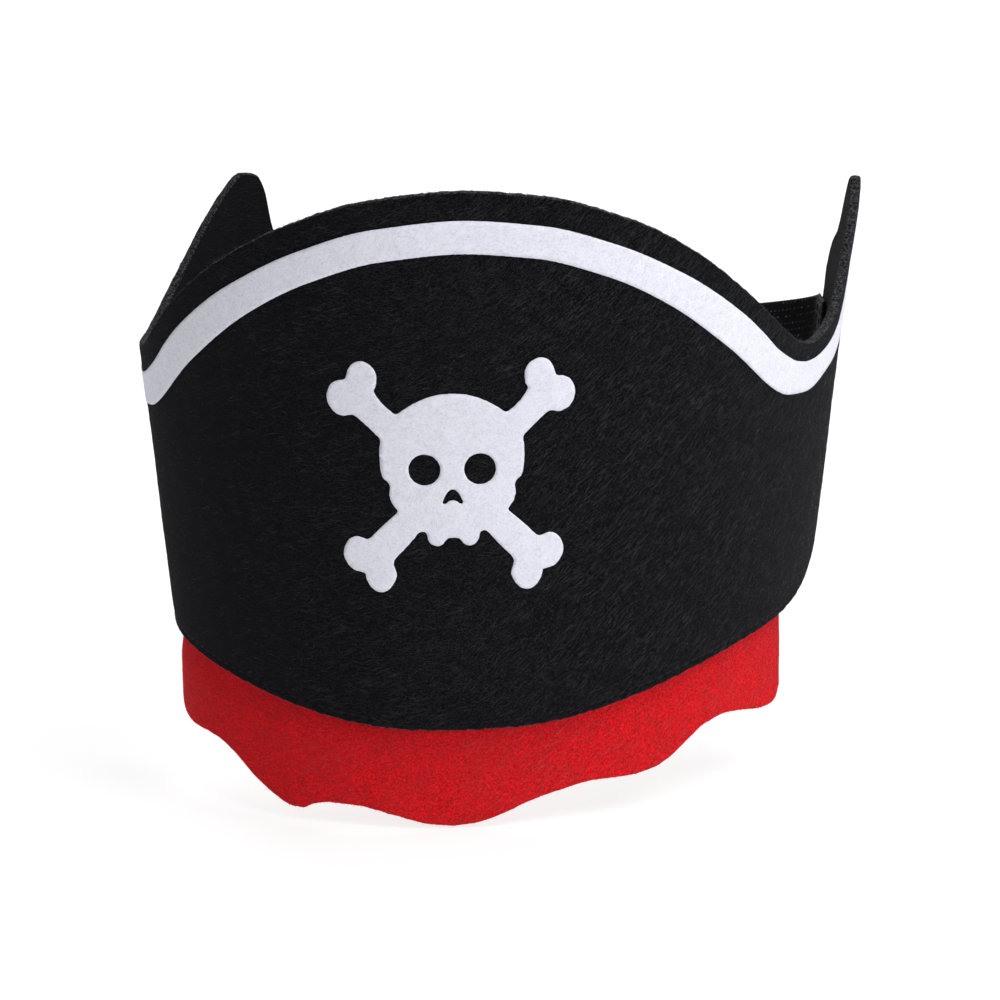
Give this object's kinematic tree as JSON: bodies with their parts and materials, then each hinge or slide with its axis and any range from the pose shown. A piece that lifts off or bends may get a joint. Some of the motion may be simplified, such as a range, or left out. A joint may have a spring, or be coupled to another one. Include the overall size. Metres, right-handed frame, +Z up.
{
  "type": "costume pirate hat",
  "caption": "Felt pirate hat: a curved upright black panel with a white printed stripe and skull and crossbones, a wavy red felt strip below, and an elastic back.",
  "frame": {"origin": "middle of the head opening, level with the lowest point of the black felt's lower edge", "axes": "+Z up out of the crown, along the axis of the wearer's head; -Y the way the skull looks; +X to the right of someone who looks at the skull"},
  "size_m": [0.21, 0.1735, 0.1778],
  "materials": {
    "black_felt": "matt needle-punched felt with pale surface fibres",
    "red_felt": "matt needle-punched felt",
    "white_ink": "matt screen print soaked into the felt",
    "black_elastic": "flat woven elastic",
    "black_thread": "spun polyester sewing thread"
  },
  "bodies": {
    "hat": {"felt_panel": "black_felt", "trim_stripe_print": "white_ink", "skull_print": "white_ink", "scallop_strip": "red_felt", "hem_needle_thread": "black_thread", "hem_bobbin_thread": "black_thread", "left_elastic_needle_thread": "black_thread", "left_elastic_bobbin_thread": "black_thread", "right_elastic_needle_thread": "black_thread", "right_elastic_bobbin_thread": "black_thread"},
    "elastic": {"elastic_band": "black_elastic"}
  },
  "joints": [
    {"name": "elastic_stretch", "type": "slide", "parent": "hat", "child": "elastic", "axis": [0, 1, 0], "range_m": [0, 0.025], "stiffness_N_per_m": 60, "deforming": ["elastic_band"]}
  ]
}
